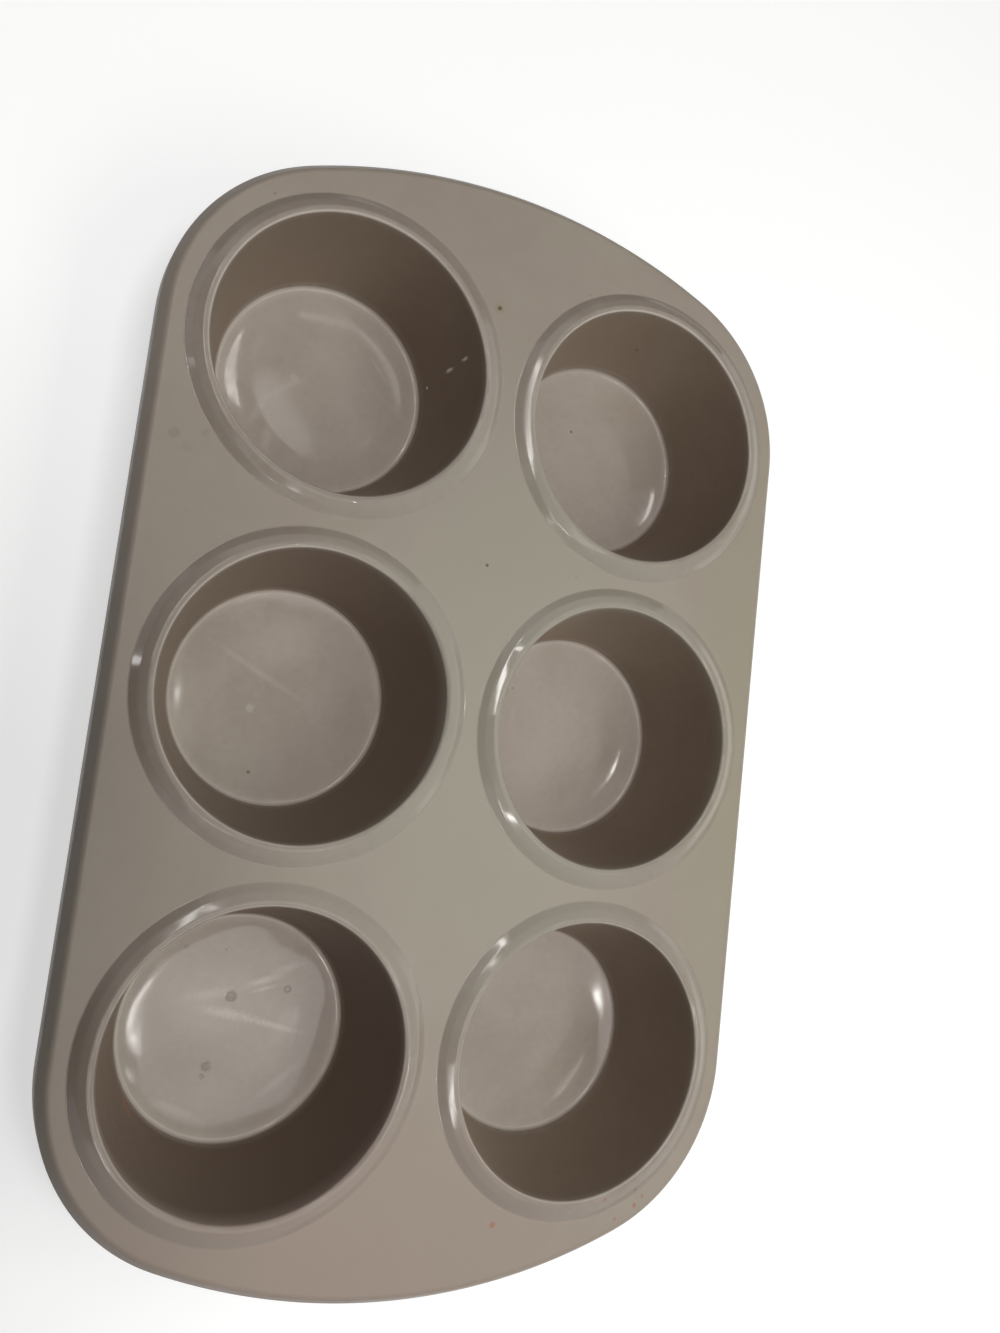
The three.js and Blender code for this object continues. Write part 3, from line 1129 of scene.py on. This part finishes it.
@dataclass
class DeckSkin:
    """The flat deck with its turned-down rim.

    Attributes:
        cups: The six cups that stand in it.
        thickness: Thickness of the deck.
        side_margin: Deck between a side cup's bead and the edge.
        corner_shift: How far the corner arcs' centres lie inside the corner cups' axes.
        end_bow: How far the ends bow out.
        rim_slope: Inset where the rim's slope meets the deck's plane, inset where it ends, and its drop.
        rim_turn: Radius where the deck turns down.
        rim_belly: Radius between the slope and the skirt below it.
        rim_width: Thickness of the rim.
        rim_edge_round: Radius of the rim's lower edges.
        under_round: Radius between the rim and the deck's underside.
        land: Strip of flat deck inside the turn.
        lap: How far the deck runs in under the beads, above and below.
        pin_radius: Radius of the mould's pin holes.
        pin_depth: Depth of the pin holes.
        corner_steps: Facets of one corner.
        bow_steps: Facets of one end.
        side_steps: Facets of one straight side.
        hole_steps: Facets of one cup hole.
        pin_steps: Facets of one pin hole.
        draft: Its mesh so far.
        piece: The finished object.
    """

    cups: list[CupSkin]
    thickness: float = 2.0 * MM
    side_margin: float = 6.4 * MM
    corner_shift: float = 1.5 * MM
    end_bow: float = 8.1 * MM
    rim_slope: Place = (2.6 * MM, 0.3 * MM, 3.3 * MM)
    rim_turn: float = 2.0 * MM
    rim_belly: float = 2.0 * MM
    rim_width: float = 6.9 * MM
    rim_edge_round: float = 0.9 * MM
    under_round: float = 0.35 * MM
    land: float = 0.12 * MM
    lap: Point = (0.15 * MM, 1.7 * MM)
    pin_radius: float = 0.9 * MM
    pin_depth: float = 3.3 * MM
    corner_steps: int = 28
    bow_steps: int = 44
    side_steps: int = 12
    hole_steps: int = 128
    pin_steps: int = 20
    draft: Draft = field(default_factory=Draft)
    piece: Object | None = None

    def __post_init__(self) -> None:
        """Takes the deck's place from the CAD node and works out its outline arcs."""
        low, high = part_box("top_deck")
        self.top = high.z
        self.rim_bottom = low.z
        self.under = self.top - self.thickness
        self.corner_radius = self.cups[0].toe + self.side_margin + self.corner_shift
        self.corner_x = self.cups[1].centre.x - self.corner_shift
        self.corner_y = self.cups[1].centre.y + self.corner_shift
        reach = (self.corner_x**2 + self.end_bow**2) / (2 * self.end_bow)
        self.bow_radius = reach + self.corner_radius
        self.bow_y = self.corner_y + self.end_bow - reach
        self.bow_angle = math.atan2(self.corner_y - self.bow_y, self.corner_x)

    def outline(self, inset: float) -> list[Point]:
        """The pan's edge from above, moved inward.

        Args:
            inset: How far inward.

        Returns:
            Points once round, anticlockwise.
        """
        half = []
        near, far = self.bow_angle, math.pi - self.bow_angle
        parts = [
            (self.corner_x, self.corner_y, self.corner_radius, 0.0, near, self.corner_steps),
            (0.0, self.bow_y, self.bow_radius, near, far, self.bow_steps),
            (-self.corner_x, self.corner_y, self.corner_radius, far, math.pi, self.corner_steps),
        ]
        for x, y, radius, start, end, steps in parts:
            for step in range(steps):
                angle = start + (end - start) * step / steps
                half.append((x + (radius - inset) * math.cos(angle), y + (radius - inset) * math.sin(angle)))
        side_x = -self.corner_x - self.corner_radius + inset
        for step in range(self.side_steps):
            half.append((side_x, self.corner_y - 2 * self.corner_y * step / self.side_steps))
        return half + [(-x, -y) for x, y in half]

    def section(self) -> list[Point]:
        """Section of the rim from the flat deck, round the outside, to the deck's underside.

        Returns:
            Points as (inset from the edge, height).
        """
        slope_top, slope_end, drop = self.rim_slope
        lean = math.pi - math.atan2(drop, slope_top - slope_end)
        flat = slope_top + self.rim_turn / math.tan(lean / 2) + self.land
        under = self.rim_width + self.under_round
        corners = [
            Corner(flat, self.top),
            Corner(slope_top, self.top, self.rim_turn, 12),
            Corner(slope_end, self.top - drop, self.rim_belly, 8),
            Corner(0.0, self.rim_bottom, self.rim_edge_round, 6),
            Corner(self.rim_width, self.rim_bottom, self.rim_edge_round, 6),
            Corner(self.rim_width, self.under, self.under_round, 4),
            Corner(under, self.under),
        ]
        points = [(flat, self.top)]
        for before, corner, after in zip(corners, corners[1:], corners[2:]):
            points += rounded(before, corner, after)
        return points

    @staticmethod
    def circle(x: float, y: float, radius: float, steps: int) -> list[Point]:
        """Points of a circle, anticlockwise."""
        angles = [FULL_TURN * step / steps for step in range(steps)]
        return [(x + radius * math.cos(angle), y + radius * math.sin(angle)) for angle in angles]

    def pins(self) -> list[Point]:
        """Places of the mould's pin holes: along the sides and at the ends.

        Returns:
            Their centres.
        """
        low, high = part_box("rim_wire")
        wire = (high.z - low.z) / 2
        x = high.x - wire
        y = high.y - wire
        pitch = self.cups[0].centre.y - self.cups[2].centre.y
        sides = [(side * x, half * pitch / 2) for side in (-1, 1) for half in (-1, 1)]
        return sides + [(0.0, y), (0.0, -y)]

    def build(self) -> None:
        """Builds the rim, then the flat faces with the cup holes and pin holes."""
        draft = self.draft
        section = self.section()
        rings = [draft.level_ring(self.outline(inset), height) for inset, height in section]
        on_bottom = [height < self.rim_bottom + SAME_HEIGHT for _, height in section]
        bottom_start = on_bottom.index(True)
        for row in range(len(rings) - 1):
            if row != bottom_start:
                draft.band(rings[row], rings[row + 1], flip=True)
        pin_loops = []
        for x, y in self.pins():
            circle = self.circle(x, y, self.pin_radius, self.pin_steps)
            mouth = draft.level_ring(circle, self.rim_bottom)
            end = draft.level_ring(circle, self.rim_bottom + self.pin_depth)
            draft.band(mouth, end, flip=True)
            draft.sheet([end], up=False)
            pin_loops.append(mouth)
        draft.sheet([rings[bottom_start], rings[bottom_start + 1], *pin_loops], up=False)
        tops, unders = [], []
        for cup in self.cups:
            for loops, lap, height in ((tops, self.lap[0], self.top), (unders, self.lap[1], self.under)):
                circle = self.circle(cup.centre.x, cup.centre.y, cup.toe - lap, self.hole_steps)
                loops.append(draft.level_ring(circle, height))
            draft.band(tops[-1], unders[-1])
        draft.sheet([rings[0], *tops], up=True)
        draft.sheet([rings[-1], *unders], up=False)
        self.piece = draft.finish("deck_skin")

    def dress(self, material: Material) -> None:
        """Gives the skin its finish and ties it to the pan.

        Args:
            material: Finish of the skin.
        """
        self.piece.data.materials.append(material)
        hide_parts("top_deck")
        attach(self.piece, Body.PAN.value)


@dataclass
class RimHoop:
    """The steel hoop inside the rim, which stays the CAD node.

    Attributes:
        node: Name of that node.
    """

    node: str = "rim_wire"

    def dress(self, material: Material) -> None:
        """Gives the hoop its finish.

        Args:
            material: Finish of the wire.
        """
        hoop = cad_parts[self.node]
        hoop.data.materials.clear()
        hoop.data.materials.append(material)


@dataclass(frozen=True)
class PhotoCamera:
    """Camera that stands where the photograph was taken.

    Attributes:
        place: Where it is, in metres.
        right: Direction to the image's right.
        up: Direction to the image's top.
        lens: Focal length in millimetres.
        sensor: Sensor's long side in millimetres.
        shift: How far the frame is shifted, in long sides.
        nearest: Nearest distance that is seen, in metres.
    """

    place: Place = (-0.10887, -0.01324, 0.28517)
    right: Place = (0.89688, 0.11438, 0.42722)
    up: Place = (-0.15172, 0.98693, 0.05427)
    lens: float = 28.454
    sensor: float = 36.0
    shift: Point = (-0.0012, -0.0108)
    nearest: float = 0.01

    def build(self) -> None:
        """Makes the camera the scene's own."""
        data = bpy.data.cameras.new("photo_camera")
        data.lens = self.lens
        data.sensor_width = self.sensor
        data.shift_x, data.shift_y = self.shift
        data.clip_start = self.nearest
        camera = linked_object("photo_camera", data)
        across = Vector(self.right).normalized()
        back = across.cross(Vector(self.up)).normalized()
        upward = back.cross(across)
        turn = Matrix((across, upward, back)).transposed()
        camera.matrix_world = Matrix.Translation(self.place) @ turn.to_4x4()
        bpy.context.scene.camera = camera


@dataclass(frozen=True)
class Lamp:
    """A soft box that looks at the pan.

    Attributes:
        name: Name of the lamp.
        heading: Direction from the pan to the lamp.
        distance: How far it stands.
        size: Its width across and its length along Y, in metres.
        power: Its power in watts.
        colour: Colour of its light.
        use: Whether it lights surfaces or is mirrored in them.
    """

    name: str
    heading: Place
    distance: float
    size: Point
    power: float
    colour: Colour = WARM_WHITE
    use: LampUse = LampUse.MIRROR

    def build(self, target: Vector) -> None:
        """Places the lamp.

        Args:
            target: What it looks at.
        """
        data = bpy.data.lights.new(self.name, "AREA")
        data.shape = "RECTANGLE"
        data.size, data.size_y = self.size
        data.energy = self.power
        data.color = self.colour
        lamp = linked_object(self.name, data)
        back = Vector(self.heading).normalized()
        across = Vector((0.0, 1.0, 0.0)).cross(back).normalized()
        along = back.cross(across)
        turn = Matrix((across, along, back)).transposed()
        lamp.matrix_world = Matrix.Translation(target + back * self.distance) @ turn.to_4x4()
        lamp.visible_camera = False
        lamp.visible_glossy = self.use is LampUse.MIRROR
        lamp.visible_diffuse = self.use is LampUse.LIGHT


@dataclass(frozen=True)
class ShadeCard:
    """A dark card beside the camera's view.

    Attributes:
        name: Name of the card.
        corner: One corner, in metres.
        sides: The two sides that leave it, in metres.
        shades: Whether it keeps light off the pan, or is only mirrored in it.
        colour: Its colour.
    """

    name: str
    corner: Place
    sides: tuple[Place, Place]
    shades: bool
    colour: Colour = BLACK_CARD

    def build(self) -> None:
        """Makes the card, which the camera doesn't see."""
        start, first, second = (Vector(value) for value in (self.corner, *self.sides))
        corners = [start, start + first, start + first + second, start + second]
        made, _, shader = new_material(self.name)
        shader.inputs["Base Color"].default_value = (*self.colour, 1.0)
        card = staged_sheet(self.name, corners, made)
        card.visible_camera = False
        card.visible_diffuse = self.shades
        card.visible_shadow = self.shades


@dataclass(frozen=True)
class Studio:
    """Pale floor, pale surroundings and soft lamps.

    Attributes:
        floor_half: Half the floor's width in metres.
        floor_colour: Colour of the floor.
        floor_rough: Roughness of the floor.
        floor_lift: What is added to the floor where it is seen, so that it looks white.
        fill: Strength of the light from all round.
        cards: The dark cards.
        lamps: The lamps.
    """

    floor_half: float = 4.0
    floor_colour: Colour = (0.45, 0.45, 0.45)
    floor_rough: float = 0.9
    floor_lift: float = 0.62
    fill: float = 0.03
    cards: tuple[ShadeCard, ...] = (
        ShadeCard("shade_card", (-0.15, -0.165, 0.292), ((0.08, 0.0, 0.0), (0.0, 0.192, 0.0)), True),
        ShadeCard("left_card", (-0.56, -0.35, 0.29), ((0.38, 0.0, 0.0), (0.0, 0.395, 0.0)), False),
        ShadeCard("upper_card", (-0.46, 0.045, 0.29), ((0.28, 0.0, 0.0), (0.0, 0.305, 0.0)), False),
        ShadeCard("far_card", (-0.6, 0.7, 0.02), ((1.3, 0.0, 0.0), (0.0, 0.0, 0.42)), False),
    )
    lamps: tuple[Lamp, ...] = (
        Lamp("top", (0.0, 0.0, 1.0), 1.2, (0.4, 0.4), 8.45, (1.0, 0.97, 0.97), LampUse.LIGHT),
        Lamp("right", (0.53, 0.0, 0.848), 0.5, (0.2, 0.2), 0.56, (0.9, 1.0, 0.92), LampUse.LIGHT),
        Lamp("near_right", (0.492, -0.413, 0.766), 0.5, (0.2, 0.2), 0.6, (1.0, 1.0, 0.96), LampUse.LIGHT),
        Lamp("near_panel", (0.2, -0.3, 0.93), 1.3, (0.4, 0.36), 0.95, (1.0, 0.99, 0.97)),
        Lamp("far_panel", (0.12, 0.345, 0.93), 1.3, (0.2, 0.07), 0.12),
        Lamp("glint_near", (0.325, -0.335, 0.884), 1.3, (0.025, 0.06), 0.4),
        Lamp("glint_low", (0.395, -0.216, 0.893), 1.3, (0.035, 0.025), 0.06),
        Lamp("glint_middle", (0.425, 0.068, 0.903), 1.3, (0.05, 0.035), 0.15),
        Lamp("glint_far", (0.332, 0.39, 0.858), 1.3, (0.04, 0.16), 0.28),
        Lamp("left_row", (-0.32, 0.0, 0.947), 1.2, (0.06, 2.0), 8.5),
        Lamp("right_row", (0.985, 0.0, 0.17), 1.5, (0.25, 1.6), 1.2),
        Lamp("near_row", (-0.1, -0.52, 0.848), 1.5, (0.2, 0.05), 1.3),
        Lamp("far_row", (-0.17, 0.51, 0.843), 1.5, (0.12, 0.03), 0.3),
        Lamp("far_dash", (-0.17, 0.3, 0.938), 1.5, (0.06, 0.05), 0.5),
        Lamp("left_spot", (-0.87, 0.115, 0.48), 0.79, (0.035, 0.035), 0.12),
    )

    @staticmethod
    def seen(graph: Graph) -> NodeSocket:
        """1 for rays that look at a surface rather than light it.

        Args:
            graph: Where to write the nodes.

        Returns:
            The output socket.
        """
        path = graph.add("ShaderNodeLightPath")
        mirrored = graph.math("MAXIMUM", path.outputs["Is Glossy Ray"], path.outputs["Is Transmission Ray"])
        return graph.math("MAXIMUM", path.outputs["Is Camera Ray"], mirrored)

    def build(self) -> None:
        """Makes the floor, the world, the cards and the lamps."""
        half = self.floor_half
        corners = [(-half, -half, 0.0), (half, -half, 0.0), (half, half, 0.0), (-half, half, 0.0)]
        staged_sheet("floor", corners, self.floor_material())
        self.surround()
        for card in self.cards:
            card.build()
        target = Vector((0.0, 0.0, CAD_BOX[1].z))
        for lamp in self.lamps:
            lamp.build(target)

    def floor_material(self) -> Material:
        """Pale floor that keeps the shadow and looks white where it is lit.

        Returns:
            The material.
        """
        made, graph, shader = new_material("pale_floor")
        shader.inputs["Base Color"].default_value = (*self.floor_colour, 1.0)
        shader.inputs["Roughness"].default_value = self.floor_rough
        shader.inputs["Emission Color"].default_value = (*WHITE, 1.0)
        lift = graph.math("MULTIPLY", self.seen(graph), self.floor_lift)
        graph.tree.links.new(lift, shader.inputs["Emission Strength"])
        return made

    def surround(self) -> None:
        """White surroundings where they are seen, and a weak light from all round."""
        world = bpy.data.worlds.new("studio")
        bpy.context.scene.world = world
        world.use_nodes = True
        graph = Graph(world.node_tree)
        backdrop = world.node_tree.nodes["Background"]
        strength = graph.range(self.seen(graph), 0.0, 1.0, self.fill, 1.0)
        graph.tree.links.new(strength, backdrop.inputs["Strength"])
        backdrop.inputs["Color"].default_value = (*WHITE, 1.0)


SATIN = SiliconeFinish(
    slot=Slot.SATIN,
    first=(0.30, 0.258, 0.214),
    second=(0.275, 0.23, 0.192),
    rough_clean=0.4,
    rough_film=0.5,
    grain_scale=2600.0,
    grain_height=0.02 * MM,
    speck_share=0.02,
    sheen=0.42,
    veil=0.03,
    marks=(
        # Broad patches of painted light on the deck: painted sheen in the middle, and the light's colour at
        # the right side and the near end.
        *painted_light_patches(36.0, 50.0),
        speck((-5.6, 110.1, 34.4), 2.0, OILY, 0.35),
        speck((-5.6, 110.1, 34.4), 0.8, CRUMB, 0.9),
        speck((-0.5, 40.4, 34.4), 0.6, CRUMB, 0.8),
        speck((64.9, -124.8, 34.3), 0.8, RUST, 0.7),
        speck((67.2, -122.6, 34.3), 0.6, RUST, 0.6),
        speck((59.0, -128.0, 34.3), 0.6, RUST, 0.5),
        speck((22.4, -126.9, 34.4), 1.0, RUST, 0.7),
        speck((-83.2, 56.3, 34.4), 1.6, GRIME, 0.28),
        speck((-76.3, 58.0, 34.4), 1.3, GRIME, 0.2),
        speck((-79.8, 53.5, 34.4), 1.8, GRIME, 0.14),
    ),
)
GLOSS = SiliconeFinish(
    slot=Slot.GLOSS,
    first=(0.29, 0.246, 0.207),
    second=(0.262, 0.217, 0.181),
    rough_clean=0.06,
    rough_film=0.14,
    grain_scale=900.0,
    grain_height=0.003 * MM,
    speck_share=0.015,
    sheen=0.5,
    veil=0.085,
    wall=WallFinish(),
    marks=(
        # Broad patches of painted light on the beads: painted sheen in the middle, and the light's colour at
        # the right side and the near end.
        *painted_light_patches(36.5, 5.0),
        # Painted shade on the outer slopes of the left beads of two cups.
        painted_patch((-85.0, -88.0, 35.5), (9.0, 36.0, 4.0), BEAD_SHADE, 0.6),
        painted_patch((-86.0, 0.0, 35.5), (8.0, 34.0, 4.0), BEAD_SHADE, 0.4),
        # Pale clouds on two left cup floors: painted reflection of a pale veil.
        painted_patch((-44.5, 15.0, 2.5), (14.0, 9.0, 5.0), PALE, 0.1),
        painted_patch((-67.0, -7.0, 2.5), (5.0, 14.0, 5.0), PALE, 0.1),
        painted_patch((-45.0, -80.0, 2.5), (22.0, 13.0, 5.0), PALE, 0.08),
        speck((-44.4, -78.7, 2.2), 1.7, GRIME, 0.7, pit=0.1),
        speck((-29.6, -76.6, 2.2), 1.2, GRIME, 0.6, pit=0.07),
        speck((-29.6, -76.6, 2.2), 0.6, PALE, 0.2),
        speck((-48.3, -96.3, 2.2), 1.5, GRIME, 0.6, pit=0.08),
        speck((-49.0, -98.9, 2.2), 0.8, GRIME, 0.4, pit=0.05),
        speck((-57.7, -66.5, 2.5), 0.9, GRIME, 0.3, pit=0.04),
        # Soft pale streaks on the near left floor: painted reflection streaks.
        scuff_and_reflection((-66.0, -66.0, 2.4), (-40.0, -92.0, 2.2), 11.0, PALE, 0.1),
        scuff_and_reflection((-58.0, -79.5, 2.2), (-42.0, -77.0, 2.2), 1.9, PALE, 0.22),
        scuff_and_reflection((-42.0, -76.2, 2.2), (-31.0, -73.0, 2.2), 1.2, PALE, 0.34),
        scuff_and_reflection((-40.0, -77.8, 2.2), (-32.0, -75.4, 2.2), 0.7, PALE, 0.3),
        scuff_and_reflection((-36.0, -73.4, 2.2), (-25.0, -69.0, 2.2), 1.4, PALE, 0.18),
        scuff_and_reflection((-54.0, -81.5, 2.2), (-36.0, -84.6, 2.2), 1.7, PALE, 0.34),
        scuff_and_reflection((-42.0, -83.6, 2.2), (-24.0, -88.0, 2.2), 1.1, PALE, 0.36),
        scuff_and_reflection((-62.0, -104.0, 2.4), (-47.0, -110.0, 2.4), 1.5, PALE, 0.16),
        scuff_and_reflection((-36.0, -106.0, 2.4), (-23.0, -95.0, 2.4), 1.6, PALE, 0.15),
        speck((-67.8, -103.1, 8.2), 2.4, RUST, 0.5),
        speck((-67.1, -104.7, 9.8), 1.7, RUST, 0.5),
        scuff_and_reflection((-12.7, 94.9, 17.0), (-12.1, 95.7, 22.6), 0.7, CHALK, 0.95),
        scuff_and_reflection((-11.5, 96.2, 25.2), (-10.8, 96.8, 29.6), 0.6, CHALK, 0.9),
        speck((-14.4, 93.0, 8.4), 0.55, CHALK, 0.8),
        # Pale spot and soft pale streaks on the far left floor.
        speck((-51.0, 88.2, 2.3), 1.4, PALE, 0.12),
        scuff_and_reflection((-44.6, 91.4, 2.2), (-58.7, 80.1, 2.2), 1.3, PALE, 0.1),
        scuff_and_reflection((-57.5, 81.5, 2.2), (-62.0, 70.8, 2.3), 1.6, PALE, 0.13),
        scuff_and_reflection((-55.5, 75.3, 2.2), (-56.5, 63.6, 2.4), 1.9, PALE, 0.14),
        scuff_and_reflection((-31.0, 100.5, 2.2), (-23.4, 92.7, 2.3), 0.6, PALE, 0.14),
        # Pale dot and soft pale streaks on the middle left floor: painted reflection.
        speck((-50.1, -3.8, 2.2), 1.4, PALE, 0.2),
        speck((-48.2, -20.6, 2.3), 0.55, CRUMB, 0.7),
        scuff_and_reflection((-66.0, 14.3, 2.7), (-33.0, -1.8, 2.2), 1.2, PALE, 0.14),
        scuff_and_reflection((-66.0, 19.5, 2.6), (-48.0, 24.5, 2.5), 5.0, PALE, 0.12),
        speck((36.4, 94.1, 2.2), 0.65, CRUMB, 0.7),
        speck((46.7, 118.1, 19.4), 0.7, CRUMB, 0.5),
        speck((64.4, -120.6, 34.9), 0.8, RUST, 0.7),
        speck((54.1, -122.0, 36.4), 0.7, RUST, 0.6),
    ),
)


@dataclass
class MuffinPan:
    """The whole pan.

    Attributes:
        cups: The six cups.
        deck: The deck they stand in.
        hoop: The wire in its rim.
    """

    cups: list[CupSkin] = field(default_factory=list)
    deck: DeckSkin | None = None
    hoop: RimHoop = field(default_factory=RimHoop)

    def build(self) -> None:
        """Builds every piece from the frame's sizes."""
        deck_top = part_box("top_deck")[1].z
        self.cups = [CupSkin(number, deck_top) for number in range(1, CUP_COUNT + 1)]
        self.deck = DeckSkin(self.cups)
        for piece in (*self.cups, self.deck):
            piece.build()

    def dress(self) -> None:
        """Gives every piece its finish and its body."""
        effects = Effects()
        gloss = GLOSS.material(effects)
        self.deck.dress(SATIN.material(effects))
        self.hoop.dress(SteelFinish().material(effects))
        for cup in self.cups:
            cup.dress(gloss)

    def report(self) -> None:
        """Logs each piece."""
        for part in (*self.cups, self.deck):
            mesh = part.piece.data
            LOG.info("%s: %d points, %d faces", part.piece.name, len(mesh.vertices), len(mesh.polygons))


def main() -> None:
    """Builds the scene."""
    logging.basicConfig(level=logging.INFO, format="%(message)s")
    bpy.context.scene.view_settings.view_transform = "Standard"
    PhotoCamera().build()
    pan = MuffinPan()
    pan.build()
    pan.dress()
    Studio().build()
    pan.report()


if __name__ == "__main__":
    main()
